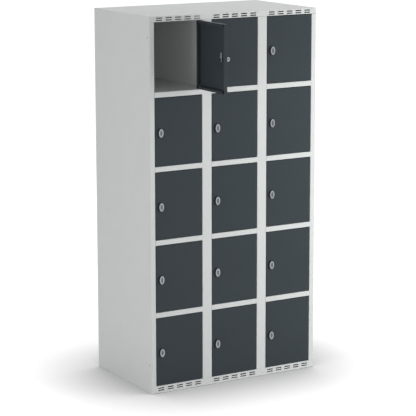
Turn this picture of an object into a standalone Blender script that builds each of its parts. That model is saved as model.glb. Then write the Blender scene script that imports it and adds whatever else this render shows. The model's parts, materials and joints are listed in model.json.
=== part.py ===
"""Steel compartment locker: three columns of five small lockers under one roof.

Each compartment has a folded steel door on two pivot pins, a cam lock with an oval
face, and a cam that turns behind the stile. The top left door stands open, with its
key in the lock. Units are metres, +Z is up and the front faces -Y. The origin is the
middle of the footprint, on the floor.
"""
import math

import bmesh
import bpy
from mathutils import Matrix, Vector

# Layout of the front
COLUMNS = 3
ROWS = 5
MODULE_WIDTH = 0.300            # one column, with half of the frame on each side of it
DEPTH = 0.545
TOP_STRIP = 0.0265              # vented strip above the top row
BOTTOM_STRIP = 0.0345           # vented strip below the bottom row
RAIL_HEIGHT = 0.0245            # front of a shelf, between two doors
OPENING_HEIGHT = 0.3185         # upper rows
BOTTOM_OPENING_HEIGHT = 0.327   # bottom row, slightly taller
STILE_WIDTH = 0.025             # frame beside an opening; two of them meet at a partition

# Sheet steel
SHEET = 0.001
INSIDE_BEND = 0.001             # inner radius of a fold
FRAME_RETURN = 0.018            # how far the frame's folds run back beside a door
REAR_FLANGE = 0.020             # folds of the sides, top and base round the back panel
SHELF_REAR_FLANGE = 0.015
SEAM = 0.0003                   # gap between two pieces that touch
OVERRUN = 0.004                 # how far a cutter runs past what it cuts
CLOSEST_POINTS = 0.00001        # points nearer than this are one point

# Ventilation slots, in pairs one above the other
SLOT_LENGTH = 0.032
SLOT_HEIGHT = 0.005
SLOT_PITCH = 0.0102             # between the two slots of a pair
SLOT_MARGIN = 0.010             # from the edge of the opening to the first pair
SLOT_PAIRS = 5                  # over each opening
TOP_SLOT_OFFSET = 0.0126        # middle of a pair above the top opening
BOTTOM_SLOT_OFFSET = 0.0158     # middle of a pair below the bottom opening

# Holes in the sides, for bolting lockers together
SIDE_HOLE_RADIUS = 0.0035
SIDE_HOLE_BACK = 0.020
SIDE_HOLE_BELOW_TOP = 0.095
SIDE_HOLE_ABOVE_FLOOR = 0.134

# Doors: folded pans on pivot pins
DOOR_GAP = 0.002
DOOR_DEPTH = 0.018
DOOR_LIP = 0.012                # fold that runs in over the pan on all four sides
PIVOT_FROM_JAMB = 0.010
PIVOT_FROM_FRONT = 0.006
PIN_RADIUS = 0.0025
PIN_REACH = 0.002               # how far a pin shows past the sheet that holds it
COLLAR_RADIUS = 0.0045          # ring that the door stands on
OPEN_ANGLE = math.radians(90)   # the top left door

# Lock: oval face in front, barrel and nut behind the door's skin
LOCK_FROM_JAMB = 0.029
LOCK_BELOW_MIDDLE = 0.0035
LOCK_WIDTH = 0.026
LOCK_HEIGHT = 0.041
LOCK_PROUD = 0.009
LOCK_EDGE = 0.0015              # chamfer round the face
RECESS_WIDTH = 0.011
RECESS_HEIGHT = 0.025
RECESS_DEPTH = 0.002
BARREL_RADIUS = 0.009
NUT_RADIUS = 0.013
NUT_THICKNESS = 0.004

# Plug and cam, which turn together
PLUG_RADIUS = 0.0045
CAM_CLEARANCE = 0.001           # between the frame's fold and the cam behind it
CAM_WIDTH = 0.016
CAM_REACH = 0.034
CAM_TAIL = 0.010
CAM_THICKNESS = 0.002
SCREW_RADIUS = 0.005
SCREW_HEIGHT = 0.0025

# Key
KEY_THICKNESS = 0.002
KEY_BLADE_WIDTH = 0.006
KEY_BLADE_DEPTH = 0.012         # inside the plug
KEY_BOW_RADIUS = 0.010
KEY_PROUD = 0.030               # from the door's face to the end of the bow
KEY_HOLE_RADIUS = 0.0035
KEY_HOLE_FROM_END = 0.009

# Facets
BEND_STEPS = 2
PIN_SIDES = 8
BARREL_SIDES = 8
OVAL_SIDES = 16
RECESS_SIDES = 10
ROUND_SIDES = 8
CAM_END_STEPS = 5
NUT_SIDES = 6
ROUND_FOLD_SHARE = 0.5          # profile of a fold that is an arc
SMOOTH_ANGLE = math.radians(40)
FLAT_ANGLE = math.radians(1)

# Paint and metal: colour, roughness, metallic
FRAME_PAINT = ((0.60, 0.62, 0.61, 1), 0.45, 0)
DOOR_PAINT = ((0.048, 0.060, 0.066, 1), 0.42, 0)
LOCK_METAL = ((0.42, 0.43, 0.45, 1), 0.35, 1)
CAM_METAL = ((0.55, 0.56, 0.58, 1), 0.30, 1)
KEY_METAL = ((0.62, 0.62, 0.62, 1), 0.25, 1)

# Sizes that follow from those above
WIDTH = COLUMNS * MODULE_WIDTH
ROW_PITCH = RAIL_HEIGHT + OPENING_HEIGHT
HEIGHT = BOTTOM_STRIP + BOTTOM_OPENING_HEIGHT + (ROWS - 1) * ROW_PITCH + TOP_STRIP
LEFT, RIGHT = -WIDTH / 2, WIDTH / 2
FRONT, BACK = -DEPTH / 2, DEPTH / 2
OPENING_WIDTH = MODULE_WIDTH - 2 * STILE_WIDTH
DOOR_WIDTH = OPENING_WIDTH - 2 * DOOR_GAP
BEND_RADIUS = INSIDE_BEND + SHEET
BACK_PANEL_REAR = BACK - SHEET - SEAM
INNER_BACK = BACK_PANEL_REAR - SHEET - SEAM
PIVOT_Y = FRONT + PIVOT_FROM_FRONT
CAM_FRONT = FRAME_RETURN + CAM_CLEARANCE


def hole_radius(radius, sides):
    """Radius of a hole whose flats clear a turning piece of the given radius."""
    return (radius + SEAM) / math.cos(math.pi / sides)


def clear_scene():
    for item in list(bpy.data.objects):
        bpy.data.objects.remove(item, do_unlink=True)


def new_collection(name):
    collection = bpy.data.collections.new(name)
    bpy.context.scene.collection.children.link(collection)
    return collection


def new_material(name, look):
    colour, roughness, metallic = look
    material = bpy.data.materials.new(name)
    material.use_nodes = True
    shader = material.node_tree.nodes["Principled BSDF"]
    shader.inputs["Base Color"].default_value = colour
    shader.inputs["Roughness"].default_value = roughness
    shader.inputs["Metallic"].default_value = metallic
    return material


def mesh_object(name, bm, collection):
    mesh = bpy.data.meshes.new(name)
    bm.to_mesh(mesh)
    bm.free()
    item = bpy.data.objects.new(name, mesh)
    collection.objects.link(item)
    return item


def add_box(bm, low, high):
    low, high = Vector(low), Vector(high)
    size = Matrix.Diagonal((*(high - low), 1))
    return bmesh.ops.create_cube(bm, size=1, matrix=Matrix.Translation((low + high) / 2) @ size)


def add_cylinder(bm, start, end, radius, sides, stretch=(1, 1, 1)):
    """A cylinder between two points; stretch makes its section oval."""
    start, end = Vector(start), Vector(end)
    axis = end - start
    turn = axis.to_track_quat("Z", "Y").to_matrix().to_4x4()
    place = Matrix.Translation((start + end) / 2) @ Matrix.Diagonal((*stretch, 1)) @ turn
    bmesh.ops.create_cone(bm, cap_ends=True, segments=sides, radius1=radius, radius2=radius,
                          depth=axis.length, matrix=place)


def hidden_tool(name, bm):
    """A shape that only cuts or joins others."""
    item = mesh_object(name, bm, TOOLS)
    item.hide_render = True
    item.display_type = "WIRE"
    return item


def combine(target, operation, tool):
    modifier = target.modifiers.new(tool.name, "BOOLEAN")
    modifier.operation = operation
    modifier.solver = "EXACT"
    modifier.object = tool


def finished_mesh(item):
    """The item's shape with its modifiers applied, for pieces that share it."""
    view = bpy.context.evaluated_depsgraph_get()
    mesh = bpy.data.meshes.new_from_object(item.evaluated_get(view))
    bpy.data.objects.remove(item, do_unlink=True)
    mesh.shade_smooth()
    mesh.set_sharp_from_angle(angle=SMOOTH_ANGLE)
    return mesh


def folded_sheet(bm, corners, sweep, inner_point):
    """Sheet folded at the corners and swept; the corners lie on its outer face."""
    chain = [bm.verts.new(corner) for corner in corners]
    edges = [bm.edges.new(pair) for pair in zip(chain, chain[1:])]
    swept = bmesh.ops.extrude_edge_only(bm, edges=edges)["geom"]
    ends = [part for part in swept if isinstance(part, bmesh.types.BMVert)]
    bmesh.ops.translate(bm, verts=ends, vec=sweep)
    folds = [edge for edge in bm.edges if len(edge.link_faces) == 2]
    bmesh.ops.bevel(bm, geom=folds, offset=BEND_RADIUS, segments=BEND_STEPS,
                    profile=ROUND_FOLD_SHARE, affect="EDGES")
    bmesh.ops.recalc_face_normals(bm, faces=bm.faces)
    bm.faces.ensure_lookup_table()
    first = bm.faces[0]
    first.normal_update()
    if first.normal.dot(Vector(inner_point) - first.calc_center_median()) > 0:
        bmesh.ops.reverse_faces(bm, faces=bm.faces)


def thicken(item):
    solid = item.modifiers.new("sheet", "SOLIDIFY")
    solid.thickness = SHEET
    solid.offset = -1
    solid.use_even_offset = True


def column_left(column):
    return LEFT + column * MODULE_WIDTH


def opening_right(column):
    return column_left(column) + MODULE_WIDTH - STILE_WIDTH


def opening_bottom(row):
    """Lower edge of an opening; row 0 is the top row."""
    if row == ROWS - 1:
        return BOTTOM_STRIP
    return BOTTOM_STRIP + BOTTOM_OPENING_HEIGHT + RAIL_HEIGHT + (ROWS - 2 - row) * ROW_PITCH


def opening_height(row):
    return BOTTOM_OPENING_HEIGHT if row == ROWS - 1 else OPENING_HEIGHT


def pin_hole_tools():
    """One rod through every pin hole of a column, from the base strip to the top strip."""
    tools = []
    for column in range(COLUMNS):
        x = opening_right(column) - PIVOT_FROM_JAMB
        bm = bmesh.new()
        add_cylinder(bm, (x, PIVOT_Y, BOTTOM_STRIP / 2), (x, PIVOT_Y, HEIGHT - TOP_STRIP / 2),
                     hole_radius(PIN_RADIUS, PIN_SIDES), PIN_SIDES)
        tools.append(hidden_tool(f"pin_holes_c{column + 1}", bm))
    return tools


def strip_slots_tool(name, middle):
    """Pairs of ventilation slots over the width of each opening, round the height middle."""
    pair_pitch = (OPENING_WIDTH - 2 * SLOT_MARGIN - SLOT_LENGTH) / (SLOT_PAIRS - 1)
    bm = bmesh.new()
    for column in range(COLUMNS):
        first = column_left(column) + STILE_WIDTH + SLOT_MARGIN
        for pair in range(SLOT_PAIRS):
            x = first + pair * pair_pitch
            for z in (middle - SLOT_PITCH / 2, middle + SLOT_PITCH / 2):
                add_box(bm, (x, FRONT - OVERRUN, z - SLOT_HEIGHT / 2),
                        (x + SLOT_LENGTH, FRONT + SHEET + OVERRUN, z + SLOT_HEIGHT / 2))
    return hidden_tool(name, bm)


def side_panel(name, side):
    """A side: stile folded in at the front, flange at the back; side is -1 or 1."""
    edge = side * RIGHT
    bm = bmesh.new()
    folded_sheet(
        bm,
        [(edge - side * STILE_WIDTH, FRONT + FRAME_RETURN, 0),
         (edge - side * STILE_WIDTH, FRONT, 0),
         (edge, FRONT, 0),
         (edge, BACK, 0),
         (edge - side * REAR_FLANGE, BACK, 0)],
        (0, 0, HEIGHT),
        (edge - side * STILE_WIDTH / 2, FRONT + FRAME_RETURN / 2, HEIGHT / 2))
    panel = mesh_object(name, bm, LOCKER)
    thicken(panel)

    bm = bmesh.new()
    outer = edge - side * (SHEET + SEAM)
    front_inner = edge - side * (STILE_WIDTH + OVERRUN)
    back_inner = edge - side * (REAR_FLANGE + OVERRUN)
    front_rear = FRONT + FRAME_RETURN + OVERRUN
    back_front = BACK - BEND_RADIUS - SEAM
    notches = (
        (front_inner, FRONT - OVERRUN, front_rear, -OVERRUN, BOTTOM_STRIP + SEAM),
        (front_inner, FRONT - OVERRUN, front_rear, HEIGHT - TOP_STRIP - SEAM, HEIGHT + OVERRUN),
        (back_inner, back_front, BACK + OVERRUN, -OVERRUN, REAR_FLANGE + SEAM),
        (back_inner, back_front, BACK + OVERRUN, HEIGHT - REAR_FLANGE - SEAM, HEIGHT + OVERRUN))
    for inner, y_low, y_high, z_low, z_high in notches:
        add_box(bm, (min(inner, outer), y_low, z_low), (max(inner, outer), y_high, z_high))
    combine(panel, "DIFFERENCE", hidden_tool(name + "_notches", bm))

    bm = bmesh.new()
    for z in (SIDE_HOLE_ABOVE_FLOOR, HEIGHT - SIDE_HOLE_BELOW_TOP):
        add_cylinder(bm, (edge - side * (SHEET + OVERRUN), FRONT + SIDE_HOLE_BACK, z),
                     (edge + side * OVERRUN, FRONT + SIDE_HOLE_BACK, z),
                     SIDE_HOLE_RADIUS, ROUND_SIDES)
    combine(panel, "DIFFERENCE", hidden_tool(name + "_holes", bm))
    return panel


def end_panel(name, strip, outer, pin_holes, slot_middle):
    """The base or the top: a sheet with its vented strip, folded round the front and back.

    outer is the height of its outer face, and strip is measured into the locker.
    """
    inward = 1 if outer == 0 else -1
    start = LEFT + SHEET + SEAM
    lip = outer + inward * strip
    bm = bmesh.new()
    folded_sheet(
        bm,
        [(start, FRONT + FRAME_RETURN, lip),
         (start, FRONT, lip),
         (start, FRONT, outer),
         (start, BACK, outer),
         (start, BACK, outer + inward * REAR_FLANGE)],
        (WIDTH - 2 * (SHEET + SEAM), 0, 0),
        (0, FRONT + FRAME_RETURN / 2, outer + inward * strip / 2))
    panel = mesh_object(name, bm, LOCKER)
    thicken(panel)
    combine(panel, "DIFFERENCE", strip_slots_tool(name + "_slots", slot_middle))
    for rod in pin_holes:
        combine(panel, "DIFFERENCE", rod)
    return panel


def back_panel():
    edge = BEND_RADIUS + SEAM
    bm = bmesh.new()
    add_box(bm, (LEFT + edge, BACK_PANEL_REAR - SHEET, edge),
            (RIGHT - edge, BACK_PANEL_REAR, HEIGHT - edge))
    return mesh_object("back_panel", bm, LOCKER)


def column_shelves(column):
    """The shelves of a column, each a sheet folded into the rail between two doors."""
    left_wall = column_left(column) + (SHEET if column == 0 else SHEET / 2)
    right_wall = column_left(column) + MODULE_WIDTH - (SHEET / 2 if column == COLUMNS - 1 else 0)
    top = BOTTOM_STRIP + BOTTOM_OPENING_HEIGHT + RAIL_HEIGHT
    start = left_wall + SEAM
    bm = bmesh.new()
    folded_sheet(
        bm,
        [(start, FRONT + FRAME_RETURN, top - RAIL_HEIGHT),
         (start, FRONT, top - RAIL_HEIGHT),
         (start, FRONT, top),
         (start, INNER_BACK, top),
         (start, INNER_BACK, top - SHELF_REAR_FLANGE)],
        (right_wall - start, 0, 0),
        (0, FRONT + FRAME_RETURN / 2, top - RAIL_HEIGHT / 2))
    shelves = hidden_tool(f"shelves_c{column + 1}", bm)
    thicken(shelves)
    stack = shelves.modifiers.new("stack", "ARRAY")
    stack.count = ROWS - 1
    stack.use_relative_offset = False
    stack.use_constant_offset = True
    stack.constant_offset_displace = (0, 0, ROW_PITCH)

    bm = bmesh.new()
    rear = FRONT + FRAME_RETURN + SEAM
    left_edge = column_left(column) + STILE_WIDTH + SEAM
    right_edge = opening_right(column) + SHEET / 2
    for low_x, high_x in ((left_wall - OVERRUN, left_edge), (right_edge, right_wall + OVERRUN)):
        add_box(bm, (low_x, FRONT - OVERRUN, 0), (high_x, rear, HEIGHT))
    combine(shelves, "DIFFERENCE", hidden_tool(f"shelf_corners_c{column + 1}", bm))
    return shelves


def partition(number):
    """A wall between two columns, with the folded front that closes the frame."""
    middle = column_left(number)
    name = f"partition_{number}"
    bm = bmesh.new()
    add_box(bm, (middle - SHEET / 2, FRONT + SHEET / 2, SHEET + SEAM),
            (middle + SHEET / 2, INNER_BACK, HEIGHT - SHEET - SEAM))
    wall = mesh_object(name, bm, LOCKER)

    bm = bmesh.new()
    rear = FRONT + FRAME_RETURN + SEAM
    for z_low, z_high in ((0, BOTTOM_STRIP + SEAM), (HEIGHT - TOP_STRIP - SEAM, HEIGHT)):
        add_box(bm, (middle - OVERRUN, FRONT - OVERRUN, z_low), (middle + OVERRUN, rear, z_high))
    combine(wall, "DIFFERENCE", hidden_tool(name + "_notches", bm))

    bm = bmesh.new()
    bottom = BOTTOM_STRIP + SEAM
    folded_sheet(
        bm,
        [(middle - STILE_WIDTH, FRONT + FRAME_RETURN, bottom),
         (middle - STILE_WIDTH, FRONT, bottom),
         (middle + STILE_WIDTH, FRONT, bottom),
         (middle + STILE_WIDTH, FRONT + FRAME_RETURN, bottom)],
        (0, 0, HEIGHT - TOP_STRIP - SEAM - bottom),
        (middle, FRONT + FRAME_RETURN / 2, HEIGHT / 2))
    front = hidden_tool(name + "_front", bm)
    thicken(front)
    combine(wall, "UNION", front)
    return wall


def door_mesh(name, height):
    """A door's pan with its pivot pins; its origin is on the pivot, at the opening's foot."""
    low = Vector((PIVOT_FROM_JAMB - DOOR_GAP - DOOR_WIDTH, -PIVOT_FROM_FRONT, DOOR_GAP))
    high = Vector((PIVOT_FROM_JAMB - DOOR_GAP, DOOR_DEPTH - PIVOT_FROM_FRONT, height - DOOR_GAP))
    bm = bmesh.new()
    add_box(bm, low, high)
    rear = max(bm.faces, key=lambda face: face.calc_center_median().y)
    kept = [edge for edge in bm.edges if edge not in set(rear.edges)]
    bmesh.ops.inset_region(bm, faces=[rear], thickness=DOOR_LIP, use_even_offset=True)
    bmesh.ops.delete(bm, geom=[rear], context="FACES")
    bmesh.ops.bevel(bm, geom=kept, offset=BEND_RADIUS, segments=1, affect="EDGES")
    door = mesh_object(name, bm, TOOLS)
    thicken(door)

    bm = bmesh.new()
    reach = DOOR_GAP + SHEET + PIN_REACH
    add_cylinder(bm, (0, 0, low.z - reach), (0, 0, low.z + SHEET / 2), PIN_RADIUS, PIN_SIDES)
    add_cylinder(bm, (0, 0, high.z - SHEET / 2), (0, 0, high.z + reach), PIN_RADIUS, PIN_SIDES)
    combine(door, "UNION", hidden_tool(name + "_pins", bm))

    bm = bmesh.new()
    add_cylinder(bm, (0, 0, SEAM), (0, 0, low.z + SHEET / 2), COLLAR_RADIUS, PIN_SIDES)
    combine(door, "UNION", hidden_tool(name + "_collar", bm))

    lock = lock_place(height)
    bm = bmesh.new()
    add_cylinder(bm, lock - Vector((0, OVERRUN, 0)), lock + Vector((0, OVERRUN, 0)),
                 BARREL_RADIUS + SEAM, BARREL_SIDES)
    combine(door, "DIFFERENCE", hidden_tool(name + "_lock_hole", bm))

    bm = bmesh.new()
    corner = DOOR_LIP + OVERRUN - BEND_RADIUS
    for x in (low.x + BEND_RADIUS, high.x - BEND_RADIUS - corner):
        for z in (low.z + BEND_RADIUS, high.z - BEND_RADIUS - corner):
            add_box(bm, (x, high.y - SHEET - OVERRUN, z), (x + corner, high.y + OVERRUN, z + corner))
    combine(door, "DIFFERENCE", hidden_tool(name + "_lip_corners", bm))
    return finished_mesh(door)


def lock_place(height):
    """The lock's axis on the door's front face, from the door's origin."""
    x = LOCK_FROM_JAMB + PIVOT_FROM_JAMB - OPENING_WIDTH
    return Vector((x, -PIVOT_FROM_FRONT, height / 2 - LOCK_BELOW_MIDDLE))


def oval(bm, width, height, front, rear, sides):
    """An upright oval disc; front and rear are distances behind the door's face."""
    add_cylinder(bm, (0, front, 0), (0, rear, 0), width / 2, sides, (1, 1, height / width))


def lock_mesh():
    """Oval body in front of the door, with the barrel and its nut behind it."""
    bm = bmesh.new()
    oval(bm, LOCK_WIDTH, LOCK_HEIGHT, -LOCK_PROUD, -SEAM, OVAL_SIDES)
    face = min(bm.faces, key=lambda item: item.calc_center_median().y)
    bmesh.ops.bevel(bm, geom=list(face.edges), offset=LOCK_EDGE, segments=1, affect="EDGES")
    lock = mesh_object("lock", bm, TOOLS)

    bm = bmesh.new()
    add_cylinder(bm, (0, -LOCK_PROUD / 2, 0), (0, CAM_FRONT - SEAM, 0), BARREL_RADIUS,
                 BARREL_SIDES)
    combine(lock, "UNION", hidden_tool("lock_barrel", bm))

    bm = bmesh.new()
    nut = SHEET + SEAM
    add_cylinder(bm, (0, nut, 0), (0, nut + NUT_THICKNESS, 0), NUT_RADIUS, NUT_SIDES)
    combine(lock, "UNION", hidden_tool("lock_nut", bm))

    bm = bmesh.new()
    oval(bm, RECESS_WIDTH, RECESS_HEIGHT, -LOCK_PROUD - OVERRUN, RECESS_DEPTH - LOCK_PROUD,
         RECESS_SIDES)
    combine(lock, "DIFFERENCE", hidden_tool("lock_recess", bm))

    bm = bmesh.new()
    add_cylinder(bm, (0, -LOCK_PROUD - OVERRUN, 0), (0, CAM_FRONT + OVERRUN, 0),
                 hole_radius(PLUG_RADIUS, ROUND_SIDES), ROUND_SIDES)
    combine(lock, "DIFFERENCE", hidden_tool("lock_bore", bm))
    return finished_mesh(lock)


def cam_outline():
    """Points of the cam: straight sides between two round ends."""
    radius = CAM_WIDTH / 2
    steps = [math.pi * step / CAM_END_STEPS for step in range(CAM_END_STEPS + 1)]
    upper = [(radius * math.cos(t), CAM_REACH - radius + radius * math.sin(t)) for t in steps]
    tail = CAM_TAIL - radius
    lower = [(-radius * math.cos(t), -tail - radius * math.sin(t)) for t in steps]
    return upper + lower


def flat_plate(name, outline, thickness):
    """A flat plate with the outline in X and Z, centred on Y."""
    curve = bpy.data.curves.new(name, "CURVE")
    curve.dimensions = "2D"
    curve.fill_mode = "BOTH"
    curve.extrude = thickness / 2
    spline = curve.splines.new("POLY")
    spline.points.add(len(outline) - 1)
    for point, (x, z) in zip(spline.points, outline):
        point.co = (x, z, 0, 1)
    spline.use_cyclic_u = True
    drawn = bpy.data.objects.new(name, curve)
    TOOLS.objects.link(drawn)
    view = bpy.context.evaluated_depsgraph_get()
    bm = bmesh.new()
    bm.from_mesh(drawn.evaluated_get(view).to_mesh())
    bpy.data.objects.remove(drawn, do_unlink=True)
    bmesh.ops.remove_doubles(bm, verts=bm.verts, dist=CLOSEST_POINTS)
    bmesh.ops.rotate(bm, verts=bm.verts, matrix=Matrix.Rotation(math.pi / 2, 3, "X"))
    bmesh.ops.dissolve_limit(bm, angle_limit=FLAT_ANGLE, verts=bm.verts, edges=bm.edges)
    return bm


def cam_mesh():
    """Plug with its keyway, the cam on its end and the screw that holds the cam."""
    bm = bmesh.new()
    add_cylinder(bm, (0, RECESS_DEPTH - LOCK_PROUD, 0), (0, CAM_FRONT + CAM_THICKNESS / 2, 0),
                 PLUG_RADIUS, ROUND_SIDES)
    cam = mesh_object("cam", bm, TOOLS)

    bm = flat_plate("cam_plate_outline", cam_outline(), CAM_THICKNESS)
    bmesh.ops.translate(bm, verts=bm.verts, vec=(0, CAM_FRONT + CAM_THICKNESS / 2, 0))
    combine(cam, "UNION", hidden_tool("cam_plate", bm))

    bm = bmesh.new()
    plate_rear = CAM_FRONT + CAM_THICKNESS
    add_cylinder(bm, (0, plate_rear - CAM_THICKNESS / 2, 0), (0, plate_rear + SCREW_HEIGHT, 0),
                 SCREW_RADIUS, ROUND_SIDES)
    combine(cam, "UNION", hidden_tool("cam_screw", bm))

    bm = bmesh.new()
    half_slot = KEY_THICKNESS / 2 + SEAM
    half_height = KEY_BLADE_WIDTH / 2 + SEAM
    plug_face = RECESS_DEPTH - LOCK_PROUD
    add_box(bm, (-half_slot, plug_face - OVERRUN, -half_height),
            (half_slot, plug_face + KEY_BLADE_DEPTH + SEAM, half_height))
    combine(cam, "DIFFERENCE", hidden_tool("keyway", bm))
    return finished_mesh(cam)


def key_mesh():
    """Key in the plug: flat blade and a round bow with a hole for its ring."""
    bow = KEY_BOW_RADIUS - KEY_PROUD
    half = KEY_THICKNESS / 2
    bm = bmesh.new()
    add_cylinder(bm, (-half, bow, 0), (half, bow, 0), KEY_BOW_RADIUS, OVAL_SIDES)
    key = mesh_object("key", bm, TOOLS)

    bm = bmesh.new()
    add_box(bm, (-half, bow, -KEY_BLADE_WIDTH / 2),
            (half, RECESS_DEPTH - LOCK_PROUD + KEY_BLADE_DEPTH, KEY_BLADE_WIDTH / 2))
    combine(key, "UNION", hidden_tool("key_blade", bm))

    bm = bmesh.new()
    hole = KEY_HOLE_FROM_END - KEY_PROUD
    add_cylinder(bm, (-half - OVERRUN, hole, 0), (half + OVERRUN, hole, 0), KEY_HOLE_RADIUS,
                 ROUND_SIDES)
    combine(key, "DIFFERENCE", hidden_tool("key_ring_hole", bm))
    return finished_mesh(key)


def place(name, mesh, parent, offset, material):
    item = bpy.data.objects.new(name, mesh)
    LOCKER.objects.link(item)
    item.parent = parent
    item.location = offset
    if not mesh.materials:
        mesh.materials.append(material)
    return item


def build_carcass():
    paint = new_material("frame_paint", FRAME_PAINT)
    rods = pin_hole_tools()
    base = end_panel("base_panel", BOTTOM_STRIP, 0, rods, BOTTOM_STRIP - BOTTOM_SLOT_OFFSET)
    top = end_panel("top_panel", TOP_STRIP, HEIGHT, rods, HEIGHT - TOP_STRIP + TOP_SLOT_OFFSET)
    left = side_panel("left_side", -1)
    right = side_panel("right_side", 1)
    walls = [partition(number) for number in range(1, COLUMNS)] + [right]
    for column, wall in enumerate(walls):
        combine(wall, "UNION", column_shelves(column))
        combine(wall, "DIFFERENCE", rods[column])
    for panel in [base, top, left, back_panel()] + walls:
        panel.data.materials.append(paint)


def build_doors():
    door_paint = new_material("door_paint", DOOR_PAINT)
    lock_metal = new_material("lock_metal", LOCK_METAL)
    cam_metal = new_material("cam_metal", CAM_METAL)
    key_metal = new_material("key_metal", KEY_METAL)
    upper_door = door_mesh("door_upper", OPENING_HEIGHT)
    lower_door = door_mesh("door_lower", BOTTOM_OPENING_HEIGHT)
    lock, cam = lock_mesh(), cam_mesh()
    for column in range(COLUMNS):
        for row in range(ROWS):
            label = f"c{column + 1}_r{row + 1}"
            pivot = bpy.data.objects.new("pivot_" + label, None)
            LOCKER.objects.link(pivot)
            x = opening_right(column) - PIVOT_FROM_JAMB
            pivot.location = (x, PIVOT_Y, opening_bottom(row))
            on_face = lock_place(opening_height(row))
            mesh = lower_door if row == ROWS - 1 else upper_door
            place("door_" + label, mesh, pivot, (0, 0, 0), door_paint)
            place("lock_" + label, lock, pivot, on_face, lock_metal)
            place("cam_" + label, cam, pivot, on_face, cam_metal)
            if column == 0 and row == 0:
                pivot.rotation_euler.z = OPEN_ANGLE
                place("key_" + label, key_mesh(), pivot, on_face, key_metal)


clear_scene()
LOCKER = new_collection("compartment_locker")
TOOLS = new_collection("cutters")
build_carcass()
build_doors()
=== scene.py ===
"""Looks of a steel compartment locker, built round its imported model.

Units are metres, +Z is up and the front faces -Y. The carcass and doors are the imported
nodes with softened edges and powder coat. The locks, cams and key are modelled here.
"""
import json
import math

import bmesh
import bpy
from mathutils import Matrix, Vector


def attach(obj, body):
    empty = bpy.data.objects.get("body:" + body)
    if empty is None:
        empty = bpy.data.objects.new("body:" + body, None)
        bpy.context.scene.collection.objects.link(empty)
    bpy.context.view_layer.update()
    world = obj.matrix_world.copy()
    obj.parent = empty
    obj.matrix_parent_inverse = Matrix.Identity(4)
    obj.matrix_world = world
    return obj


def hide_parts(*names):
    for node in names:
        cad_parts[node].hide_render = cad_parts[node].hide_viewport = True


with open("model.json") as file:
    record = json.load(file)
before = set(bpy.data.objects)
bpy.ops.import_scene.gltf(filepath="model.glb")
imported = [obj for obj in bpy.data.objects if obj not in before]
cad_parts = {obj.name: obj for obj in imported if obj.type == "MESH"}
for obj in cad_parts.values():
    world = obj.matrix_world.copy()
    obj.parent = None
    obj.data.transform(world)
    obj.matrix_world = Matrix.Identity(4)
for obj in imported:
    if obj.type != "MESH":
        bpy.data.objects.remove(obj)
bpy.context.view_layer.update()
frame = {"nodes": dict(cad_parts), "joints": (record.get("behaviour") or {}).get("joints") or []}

# Camera, as fitted to the edges of the locker in the photograph
CAMERA_PLACE = (-4.2286, -7.2270, 2.4738)
CAMERA_AZIMUTH = math.radians(30.338)   # from +Y towards +X
CAMERA_PITCH = math.radians(10.272)     # below the horizon
CAMERA_ROLL = math.radians(-0.099)
CAMERA_LENS = 152.83                    # millimetres
CAMERA_SHIFT = (0.0060, -0.0800)

# Colours of paint and metal, linear
FRAME_GREY = (0.600, 0.622, 0.612)
DOOR_GREY = (0.0325, 0.0418, 0.0480)
FACE_SILVER = (0.350, 0.364, 0.395)
# painted shade: the face's silver at about half brightness, for the lock's recess
RECESS_PAINTED_SHADE = (0.185, 0.194, 0.212)
PLUG_GREY = (0.23, 0.24, 0.26)
BODY_BLACK = (0.012, 0.012, 0.013)
ZINC = (0.55, 0.56, 0.58)
NICKEL = (0.39, 0.39, 0.40)
DARK_STEEL = (0.05, 0.05, 0.055)
WHITE = (1, 1, 1)

# Changes over a surface, with their scales in features per metre
SHADE_SCALE, SHADE_DETAIL = 9, 4
GLOSS_SCALE, GLOSS_DETAIL = 45, 3
GLOSS_CHANGE = 0.04
NOISE_RANGE = (0.3, 0.7)        # nearly all of a noise lies in it
FINE = {"bump": 0.00002, "grain": 900}      # plated metal and moulded plastic
POWDER = {"bump": 0.0002, "grain": 650}     # orange peel of the powder coat

# Edges and shading
SHEET_EDGE = 0.0003                 # rounding of the sheet's edges
PANEL_EDGE = 0.00015                # the same on the top and base panels
EDGE_ANGLE = math.radians(50)       # sharper turns than this are rounded
SMOOTH_ANGLE = math.radians(35)     # flatter turns than this are shaded smooth
MERGE = 0.00001                     # points closer than this are one

# Lights and floor
AMBIENT = 0.4               # even light from all sides
FLOOR_BOUNCE = 0.7          # how much light the floor gives back to the locker
FLOOR_LIT = 0.23            # share of the floor's white that the lamps give
FLOOR_GLOW = 0.8            # share that is white of itself, for the camera and reflections
FLOOR_CLEAR = (0.5, 1.3)    # how far from the locker's middle it starts and ends to clear
SHADE_REACH = 0.41          # how far from the locker its soft shade on the floor reaches
SHADE_DEPTH = 1.46          # how dark that shade is
SHADE_SAMPLES = 16
FLOOR_SIZE = 30             # from its middle to its edges
FLOOR_DROP = 0.0005         # how far it lies below the locker's underside
# For each lamp: its place, what it points at, its width and height, and its watts
LAMPS = {
    "right_near": ((1.6, -1.6, 1.2), (0.3, -0.27, 1.0), (1.0, 1.8), 31),
    "right_far": ((3.0, -1.3, 1.4), (0.2, -0.27, 1.0), (1.5, 2.0), 8),
    "left_fore": ((-2.3, -4.6, 2.0), (-0.25, -0.2, 1.2), (1.6, 1.8), 31),
    "left_mid": ((-5.0, -1.5, 0.9), (-0.3, -0.2, 0.9), (2.5, 2.2), 80),
    "top": ((1.2, 0, 4.2), (0.2, 0, 1.7), (2.0, 2.0), 27),
    "back": ((1.5, 4.5, 2.2), (0, 0.27, 0.9), (2.5, 2.0), 45),
}

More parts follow.
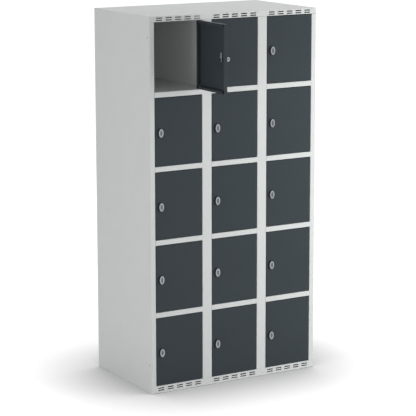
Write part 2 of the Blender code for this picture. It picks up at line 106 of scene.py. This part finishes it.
# Lock. An oval is a half width and a half height. Depths run from the door's face into the
# door, so what stands proud is negative. An edge is a list of steps, each given by how far
# it lies outside its oval or circle and how much deeper it lies than the edge.
OVAL_SIDES = 48
SEAM = 0.0001                   # keeps faces apart that would coincide
BODY_OVAL = (0.0130, 0.0205)
BODY_FRONT, BODY_BACK = -0.0080, -0.0003
BODY_EDGE = ((0, 0.0008), (-0.0002, 0.0003), (-0.0007, 0))
FACE_OVAL = (0.0121, 0.0196)
FACE_FRONT, FACE_BACK = -0.0085, -0.0078
RIM_FRONT = -0.0090
RIM_EDGE = ((0, 0.0005), (-0.0002, 0.0001), (-0.0006, 0), (-0.0012, 0), (-0.0015, 0.0002),
            (-0.0019, 0.0005))
RECESS_OVAL = (0.0055, 0.0125)
RECESS_FLOOR = -0.0070
RECESS_EDGE = ((0.0009, 0), (0.0004, 0.0002), (0.0001, 0.0006))
RECESS_WALL = 0.0005            # how much wider the body's own recess is
RECESS_SHADE_MARGIN = 0.0003            # how far out past its edge the recess's painted shade reaches
COLLAR_RADIUS, COLLAR_CHAMFER, COLLAR_PROUD = 0.0054, 0.0002, 0.0003
HOLE_RADIUS, HOLE_CHAMFER = 0.0047, 0.0002
HOLE_LINING = -0.0060           # how deep the face lines the hole

PLUG_RADIUS, PLUG_CHAMFER, PLUG_END = 0.0044, 0.0002, 0.0195
KEYWAY, KEYWAY_END = (0.0013, 0.0033), 0.0056

BARREL_SIDES = 24
BARREL_START, BARREL_END, BARREL_BORE_END = 0.0004, 0.0187, 0.0100
BARREL_EDGE = ((-0.0002, -0.0003), (-0.0006, 0))
THREAD_ROOT, THREAD_CREST = 0.0085, 0.0090
THREAD_START, THREAD_PITCH, THREAD_TURNS = 0.0012, 0.0008, 20
CREST_START, CREST_END = 0.0003, 0.0005     # within one pitch

NUT_ACROSS, NUT_BORE, NUT_FLAT = 0.0226, 0.0091, 0.0108
NUT_FRONT, NUT_BACK = 0.0013, 0.0053
NUT_CHAMFER, NUT_LEAD = 0.0004, 0.0007

# Cam, its screw and the key
STAMPED_THICKNESS, STAMPED_EDGE, EDGE_STEPS = 0.002, 0.0003, 2
CAM_RADIUS, CAM_REACH, CAM_TAIL, CAM_DEPTH = 0.008, 0.026, 0.002, 0.020
CAM_STEPS = 24                  # in the arc of each end
SCREW_SIDES = 36
WASHER_RADIUS, WASHER_EDGE, WASHER_END = 0.0060, 0.0002, 0.0215
HEAD_RADIUS, HEAD_END = 0.0050, 0.0235
HEAD_EDGE = ((0, -0.0007), (-0.0003, -0.0002), (-0.0009, 0))
SOCKET_ACROSS, SOCKET_CHAMFER = 0.0042, 0.0002
SOCKET_LEAD, SOCKET_FLOOR = 0.0027, 0.0015  # radii at its mouth and on its floor
BOW_RADIUS, BOW_PLACE, BOW_NARROWING, BOW_STEPS = 0.010, -0.020, 0.8, 44
BOW_START = 23.6                # degrees between the blade's axis and each end of the arc
KEY_HOLE_RADIUS, KEY_HOLE_PLACE, KEY_HOLE_SIDES = 0.0030, -0.021, 24
NECK, NECK_END = 0.0040, -0.0078            # half height and end of the bow's neck
BLADE, BLADE_START = 0.0030, -0.0072        # half height and start of the blade
BLADE_TIP = ((0.0038, -0.0030), (0.0048, -0.0018), (0.0048, 0.0012), (0.0040, 0.0030))


def link(item):
    bpy.context.scene.collection.objects.link(item)
    return item


def add_camera():
    lens = bpy.data.cameras.new("camera")
    lens.lens = CAMERA_LENS
    lens.shift_x, lens.shift_y = CAMERA_SHIFT
    camera = link(bpy.data.objects.new("camera", lens))
    camera.matrix_world = (Matrix.Translation(CAMERA_PLACE)
                           @ Matrix.Rotation(-CAMERA_AZIMUTH, 4, "Z")
                           @ Matrix.Rotation(math.pi / 2 - CAMERA_PITCH, 4, "X")
                           @ Matrix.Rotation(CAMERA_ROLL, 4, "Z"))
    bpy.context.scene.camera = camera


class Nodes:
    """Short way to add shader nodes to a material or world and to link them."""

    def __init__(self, owner):
        owner.use_nodes = True
        self.tree = owner.node_tree
        self.tree.nodes.clear()

    def add(self, kind, **settings):
        node = self.tree.nodes.new("ShaderNode" + kind)
        for name, value in settings.items():
            setattr(node, name, value)
        return node

    def link(self, source, target):
        self.tree.links.new(source, target)

    def calculate(self, operation, first, second, **settings):
        """The outcome of a Math node on two values."""
        node = self.add("Math", operation=operation, **settings)
        self.link(first, node.inputs[0])
        self.link(second, node.inputs[1])
        return node.outputs[0]

    def seen(self):
        """1 for what the camera sees, directly, mirrored or through glass, and 0 for the rest."""
        ray = self.add("LightPath")
        total = ray.outputs["Is Camera Ray"]
        for name in ("Is Glossy Ray", "Is Transmission Ray"):
            total = self.calculate("ADD", total, ray.outputs[name], use_clamp=True)
        return total

    def noise(self, scale, detail=2):
        """Noise in the object's own coordinates; scale is in features per metre."""
        place = self.add("TexCoord")
        noise = self.add("TexNoise")
        noise.inputs["Scale"].default_value = scale
        noise.inputs["Detail"].default_value = detail
        self.link(place.outputs["Object"], noise.inputs["Vector"])
        return noise.outputs["Fac"]

    def spread(self, value, low, high, source=(0, 1), **settings):
        """The value, which runs over the source's range, made to run from low to high."""
        node = self.add("MapRange", **settings)
        node.inputs["From Min"].default_value, node.inputs["From Max"].default_value = source
        node.inputs["To Min"].default_value = low
        node.inputs["To Max"].default_value = high
        self.link(value, node.inputs["Value"])
        return node.outputs["Result"]


def surface(name, colour, roughness, metallic=0.0, tint=0.03, specular=0.5, relief=FINE):
    """Painted or plated surface: slight change of colour and gloss, and a fine grain."""
    material = bpy.data.materials.new(name)
    nodes = Nodes(material)
    shader = nodes.add("BsdfPrincipled")
    output = nodes.add("OutputMaterial")
    nodes.link(shader.outputs["BSDF"], output.inputs["Surface"])
    shader.inputs["Metallic"].default_value = metallic
    shader.inputs["Specular IOR Level"].default_value = specular

    shade = nodes.add("HueSaturation")
    shade.inputs["Color"].default_value = (*colour, 1)
    change = nodes.spread(nodes.noise(SHADE_SCALE, SHADE_DETAIL), 1 - tint, 1 + tint,
                          NOISE_RANGE)
    nodes.link(change, shade.inputs["Value"])
    nodes.link(shade.outputs["Color"], shader.inputs["Base Color"])
    gloss = nodes.spread(nodes.noise(GLOSS_SCALE, GLOSS_DETAIL), roughness - GLOSS_CHANGE,
                         roughness + GLOSS_CHANGE, NOISE_RANGE)
    nodes.link(gloss, shader.inputs["Roughness"])

    bump = nodes.add("Bump")
    bump.inputs["Distance"].default_value = relief["bump"]
    nodes.link(nodes.noise(relief["grain"]), bump.inputs["Height"])
    nodes.link(bump.outputs["Normal"], shader.inputs["Normal"])
    return material


def soften(item, width=SHEET_EDGE):
    """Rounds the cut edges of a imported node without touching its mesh."""
    weld = item.modifiers.new("weld", "WELD")
    weld.merge_threshold = MERGE
    bevel = item.modifiers.new("edges", "BEVEL")
    bevel.width = width
    bevel.segments = 1
    bevel.limit_method = "ANGLE"
    bevel.angle_limit = EDGE_ANGLE
    bevel.harden_normals = True
    normals = item.modifiers.new("normals", "WEIGHTED_NORMAL")
    normals.keep_sharp = True


def dress(node, material):
    """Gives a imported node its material."""
    item = frame["nodes"][node]
    item.data.materials.clear()
    item.data.materials.append(material)
    return item


def add_world():
    """White for the camera and for reflections, and a plain ambient light for the rest."""
    world = bpy.data.worlds.new("world")
    bpy.context.scene.world = world
    nodes = Nodes(world)
    background = nodes.add("Background")
    background.inputs["Color"].default_value = (*WHITE, 1)
    nodes.link(nodes.spread(nodes.seen(), AMBIENT, 1), background.inputs["Strength"])
    output = nodes.add("OutputWorld")
    nodes.link(background.outputs["Background"], output.inputs["Surface"])


def floor_material():
    """White with a soft shade round the locker that only the camera and reflections see."""
    material = bpy.data.materials.new("floor")
    nodes = Nodes(material)
    seen = nodes.seen()
    diffuse = nodes.add("BsdfDiffuse")
    nodes.link(nodes.spread(seen, FLOOR_BOUNCE, FLOOR_LIT), diffuse.inputs["Color"])

    shade = nodes.add("AmbientOcclusion", samples=SHADE_SAMPLES)
    shade.inputs["Distance"].default_value = SHADE_REACH
    deep = nodes.add("Math", operation="POWER")
    nodes.link(shade.outputs["AO"], deep.inputs[0])
    deep.inputs[1].default_value = SHADE_DEPTH
    place = nodes.add("TexCoord")
    far = nodes.add("VectorMath", operation="LENGTH")
    nodes.link(place.outputs["Object"], far.inputs[0])
    clear = nodes.spread(far.outputs["Value"], FLOOR_GLOW, 1, FLOOR_CLEAR,
                         interpolation_type="SMOOTHSTEP")
    glow = nodes.calculate("MULTIPLY", deep.outputs[0], clear)
    emission = nodes.add("Emission")
    emission.inputs["Color"].default_value = (*WHITE, 1)
    nodes.link(nodes.calculate("MULTIPLY", seen, glow), emission.inputs["Strength"])

    both = nodes.add("AddShader")
    nodes.link(diffuse.outputs[0], both.inputs[0])
    nodes.link(emission.outputs[0], both.inputs[1])
    output = nodes.add("OutputMaterial")
    nodes.link(both.outputs[0], output.inputs["Surface"])
    return material


def add_floor():
    bm = bmesh.new()
    bmesh.ops.create_grid(bm, x_segments=1, y_segments=1, size=FLOOR_SIZE)
    mesh = bpy.data.meshes.new("floor")
    bm.to_mesh(mesh)
    bm.free()
    mesh.materials.append(floor_material())
    floor = link(bpy.data.objects.new("floor", mesh))
    floor.location.z = -FLOOR_DROP


def add_lamp(name, place, aim, size, power):
    lamp = bpy.data.lights.new(name, "AREA")
    lamp.shape = "RECTANGLE"
    lamp.size, lamp.size_y = size
    lamp.energy = power
    item = link(bpy.data.objects.new(name, lamp))
    item.location = place
    item.rotation_euler = (Vector(aim) - Vector(place)).to_track_quat("-Z", "Y").to_euler()
    item.visible_glossy = False


def oval(halves, margin=0):
    """Ellipse from its half width and half height, grown by a margin all round."""
    width, height = (half + margin for half in halves)
    return lambda turn: (width * math.cos(turn), height * math.sin(turn))


def circle(radius):
    return oval((radius, radius))


def edge(halves, depth, steps):
    """Rings of a rounded edge: each step is how far outside the oval it lies, and how deep."""
    return [(oval(halves, outside), depth + deeper) for outside, deeper in steps]


def hexagon(across):
    """Six-sided outline; across is the distance between two flats."""
    def point(turn):
        reach = across / 2 / math.cos((turn + math.pi / 6) % (math.pi / 3) - math.pi / 6)
        return reach * math.cos(turn), reach * math.sin(turn)
    return point


def rectangle(halves, margin=0):
    """Rectangle from its half width and half height, grown by a margin all round."""
    width, height = (half + margin for half in halves)

    def point(turn):
        x, z = math.cos(turn), math.sin(turn)
        if height * abs(x) > width * abs(z):
            reach = width / abs(x)
        else:
            reach = height / abs(z)
        return reach * x, reach * z
    return point


def stack(name, rings, sides, closed=False):
    """A loft along Y from rings, each an outline and a depth; closed puts a face on the last."""
    bm = bmesh.new()
    loops = []
    for outline, depth in rings:
        places = [outline(2 * math.pi * step / sides) for step in range(sides)]
        loops.append([bm.verts.new((x, depth, z)) for x, z in places])
    for first, second in zip(loops, loops[1:]):
        for step in range(sides):
            after = (step + 1) % sides
            bm.faces.new((first[step], first[after], second[after], second[step]))
    if closed:
        bm.faces.new(loops[-1])
    return finished(name, bm)


def finished(name, bm):
    """The mesh with its faces outwards and its flat turns shaded smooth."""
    bmesh.ops.recalc_face_normals(bm, faces=bm.faces)
    mesh = bpy.data.meshes.new(name)
    bm.to_mesh(mesh)
    bm.free()
    mesh.shade_smooth()
    mesh.set_sharp_from_angle(angle=SMOOTH_ANGLE)
    return mesh


def plate(name, outlines):
    """Upright stamped plate with rounded edges, from its outer outline and its holes."""
    curve = bpy.data.curves.new(name, "CURVE")
    curve.dimensions = "2D"
    curve.fill_mode = "BOTH"
    curve.extrude = STAMPED_THICKNESS / 2 - STAMPED_EDGE
    curve.bevel_depth = STAMPED_EDGE
    curve.bevel_resolution = EDGE_STEPS
    curve.offset = -STAMPED_EDGE
    for outline in outlines:
        spline = curve.splines.new("POLY")
        spline.points.add(len(outline) - 1)
        for point, (x, z) in zip(spline.points, outline):
            point.co = (x, z, 0, 1)
        spline.use_cyclic_u = True
    drawn = link(bpy.data.objects.new(name, curve))
    bm = bmesh.new()
    bm.from_mesh(drawn.evaluated_get(bpy.context.evaluated_depsgraph_get()).to_mesh())
    bpy.data.objects.remove(drawn, do_unlink=True)
    bmesh.ops.remove_doubles(bm, verts=bm.verts, dist=MERGE)
    bmesh.ops.rotate(bm, verts=bm.verts, matrix=Matrix.Rotation(math.pi / 2, 3, "X"))
    return bm


def arc(radius, start, end, steps, middle=(0, 0), narrowing=1):
    """Points from one angle to another, in degrees, round a circle that may be narrowed."""
    turns = [math.radians(start + (end - start) * step / steps) for step in range(steps + 1)]
    return [(middle[0] + narrowing * radius * math.cos(turn),
             middle[1] + radius * math.sin(turn)) for turn in turns]


def lock_matrix(joint):
    """Where a lock stands: its axis on the door's face, with -Y pointing out of the door."""
    axis = Vector(joint["axis"])
    turn = math.atan2(axis.x, -axis.y)
    return Matrix.Translation(joint["pos_m"]) @ Matrix.Rotation(turn, 4, "Z")


def lock_body():
    """Black oval body that stands proud of the door."""
    return stack("lock_body", [
        (oval(BODY_OVAL), BODY_BACK), *edge(BODY_OVAL, BODY_FRONT, BODY_EDGE),
        (oval(RECESS_OVAL, RECESS_WALL), BODY_FRONT),
        (oval(RECESS_OVAL, RECESS_WALL), RECESS_FLOOR + SEAM),
        (circle(HOLE_RADIUS), RECESS_FLOOR + SEAM), (circle(HOLE_RADIUS), BODY_BACK - SEAM)],
        OVAL_SIDES)


def lock_face():
    """Satin face with a raised rim, and an upright recess with a collar round the plug.

    The recess takes the mesh's second material, a darker copy of the silver that paints its
    shade.
    """
    collar_front = RECESS_FLOOR - COLLAR_PROUD
    mesh = stack("lock_face", [
        (oval(FACE_OVAL), FACE_BACK), *edge(FACE_OVAL, RIM_FRONT, RIM_EDGE),
        *edge(RECESS_OVAL, FACE_FRONT, RECESS_EDGE), (oval(RECESS_OVAL), RECESS_FLOOR),
        (circle(COLLAR_RADIUS), RECESS_FLOOR),
        (circle(COLLAR_RADIUS - COLLAR_CHAMFER), collar_front),
        (circle(HOLE_RADIUS + HOLE_CHAMFER), collar_front),
        (circle(HOLE_RADIUS), collar_front + HOLE_CHAMFER),
        (circle(HOLE_RADIUS), HOLE_LINING)], OVAL_SIDES)
    # faces in the recess and just past its edge get the darker silver, which is painted shade
    width, height = (half + RECESS_SHADE_MARGIN for half in RECESS_OVAL)
    for face in mesh.polygons:
        face.material_index = math.hypot(face.center.x / width, face.center.z / height) < 1
    return mesh


def lock_barrel():
    """Threaded barrel behind the door's skin, with a bore in its end for the plug."""
    rings = [(circle(THREAD_ROOT + SEAM), BARREL_START)]
    for turn in range(THREAD_TURNS):
        depth = THREAD_START + turn * THREAD_PITCH
        rings += [(circle(THREAD_ROOT), depth), (circle(THREAD_CREST), depth + CREST_START),
                  (circle(THREAD_CREST), depth + CREST_END)]
    rings.append((circle(THREAD_ROOT), THREAD_START + THREAD_TURNS * THREAD_PITCH))
    rings += edge((THREAD_ROOT, THREAD_ROOT), BARREL_END, BARREL_EDGE)
    rings += [(circle(HOLE_RADIUS), BARREL_END), (circle(HOLE_RADIUS), BARREL_BORE_END)]
    return stack("lock_barrel", rings, BARREL_SIDES)


def lock_nut():
    """Six-sided nut that clamps the lock to the door."""
    return stack("lock_nut", [
        (circle(NUT_BORE), NUT_FRONT), (circle(NUT_FLAT), NUT_FRONT),
        (hexagon(NUT_ACROSS), NUT_FRONT + NUT_CHAMFER),
        (hexagon(NUT_ACROSS), NUT_BACK - NUT_CHAMFER), (circle(NUT_FLAT), NUT_BACK),
        (circle(NUT_BORE + NUT_LEAD), NUT_BACK), (circle(NUT_BORE), NUT_BACK - NUT_CHAMFER)],
        OVAL_SIDES)


def plug():
    """Plug that turns in the lock, with its keyway."""
    return stack("plug", [
        (circle(PLUG_RADIUS), PLUG_END), (circle(PLUG_RADIUS), RECESS_FLOOR + PLUG_CHAMFER),
        (circle(PLUG_RADIUS - PLUG_CHAMFER), RECESS_FLOOR),
        (rectangle(KEYWAY, PLUG_CHAMFER), RECESS_FLOOR),
        (rectangle(KEYWAY), RECESS_FLOOR + PLUG_CHAMFER), (rectangle(KEYWAY), KEYWAY_END)],
        OVAL_SIDES, closed=True)


def cam_plate():
    """Flat cam: straight sides between two round ends."""
    outline = (arc(CAM_RADIUS, 0, 180, CAM_STEPS, (0, CAM_REACH))
               + arc(CAM_RADIUS, 180, 360, CAM_STEPS, (0, -CAM_TAIL)))
    bm = plate("cam_plate", [outline])
    bmesh.ops.translate(bm, verts=bm.verts, vec=(0, CAM_DEPTH, 0))
    return finished("cam_plate", bm)


def cam_screw():
    """Hexagon socket screw with a washer under its head."""
    cam_back = CAM_DEPTH + STAMPED_THICKNESS / 2
    return stack("cam_screw", [
        (circle(WASHER_RADIUS - WASHER_EDGE), cam_back),
        (circle(WASHER_RADIUS), cam_back + WASHER_EDGE), (circle(WASHER_RADIUS), WASHER_END),
        (circle(HEAD_RADIUS), WASHER_END + SEAM),
        *edge((HEAD_RADIUS, HEAD_RADIUS), HEAD_END, HEAD_EDGE),
        (circle(SOCKET_LEAD), HEAD_END), (hexagon(SOCKET_ACROSS), HEAD_END - SOCKET_CHAMFER),
        (hexagon(SOCKET_ACROSS), WASHER_END), (circle(SOCKET_FLOOR), WASHER_END)],
        SCREW_SIDES, closed=True)


def key_form():
    """Stamped key: oval bow with a hole for its ring, a neck and the blade."""
    bow = arc(BOW_RADIUS, BOW_START, 360 - BOW_START, BOW_STEPS, (BOW_PLACE, 0), BOW_NARROWING)
    blade = [(NECK_END, -NECK), (BLADE_START, -BLADE), *BLADE_TIP, (BLADE_START, BLADE),
             (NECK_END, NECK)]
    hole = arc(KEY_HOLE_RADIUS, 0, 360, KEY_HOLE_SIDES, (KEY_HOLE_PLACE, 0))[:-1]
    bm = plate("key", [bow + blade, hole])
    bmesh.ops.rotate(bm, verts=bm.verts, matrix=Matrix.Rotation(math.pi / 2, 3, "Z"))
    return finished("key", bm)


def painted(mesh, *materials):
    """The mesh with its materials."""
    for material in materials:
        mesh.materials.append(material)
    return mesh


def add_piece(name, mesh, joint, body, replaced=None):
    """Puts a form on its lock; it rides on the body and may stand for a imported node."""
    piece = link(bpy.data.objects.new(name, mesh))
    piece.matrix_world = lock_matrix(joint)
    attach(piece, body)
    if replaced:
        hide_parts(replaced)


def metal(name, colour, roughness, tint=0.03):
    """Plated or bare metal."""
    return surface(name, colour, roughness, metallic=1.0, tint=tint)


def dress_sheets():
    """Powder coat and softened edges for the carcass and the doors."""
    frame_paint = surface("frame_paint", FRAME_GREY, roughness=0.42, tint=0.012, relief=POWDER)
    door_paint = surface("door_paint", DOOR_GREY, roughness=0.45, tint=0.02, specular=0.18,
                         relief=POWDER)
    for name in frame["nodes"]:
        if name.startswith("door_"):
            soften(dress(name, door_paint))
        elif name in ("top_panel", "base_panel"):
            soften(dress(name, frame_paint), PANEL_EDGE)
        elif not name.startswith(("lock_", "cam_", "key_")):
            soften(dress(name, frame_paint))


def dress_locks():
    """Finer locks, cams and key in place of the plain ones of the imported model."""
    zinc = metal("zinc", ZINC, roughness=0.34, tint=0.04)
    nickel = metal("nickel", NICKEL, roughness=0.25)
    body = painted(lock_body(), surface("lock_black", BODY_BLACK, roughness=0.45, tint=0.05))
    # the recess gets a darker copy of the silver, which is painted shade
    face = painted(lock_face(), metal("lock_silver", FACE_SILVER, roughness=0.34, tint=0.02),
                   metal("lock_recess", RECESS_PAINTED_SHADE, roughness=0.4, tint=0.02))
    dark = metal("dark_steel", DARK_STEEL, roughness=0.4)
    barrel, nut, screw = (painted(form(), dark) for form in (lock_barrel, lock_nut, cam_screw))
    core = painted(plug(), metal("plug_grey", PLUG_GREY, roughness=0.3))
    bar = painted(cam_plate(), zinc)
    for joint in frame["joints"]:
        if not joint["name"].startswith("cam_"):
            continue
        label = joint["name"].removeprefix("cam_").removesuffix("_turn")
        door, cam = "door_assembly_" + label, "cam_assembly_" + label
        add_piece("lock_body_" + label, body, joint, door, "lock_" + label)
        add_piece("lock_face_" + label, face, joint, door)
        add_piece("lock_barrel_" + label, barrel, joint, door)
        add_piece("lock_nut_" + label, nut, joint, door)
        add_piece("plug_" + label, core, joint, cam)
        add_piece("cam_plate_" + label, bar, joint, cam, "cam_" + label)
        add_piece("cam_screw_" + label, screw, joint, cam)
        if "key_" + label in frame["nodes"]:
            key = painted(key_form(), nickel)
            add_piece("key_form_" + label, key, joint, cam, "key_" + label)


bpy.context.scene.view_settings.view_transform = "Standard"
add_camera()
add_world()
add_floor()
for name, settings in LAMPS.items():
    add_lamp(name, *settings)
dress_sheets()
dress_locks()
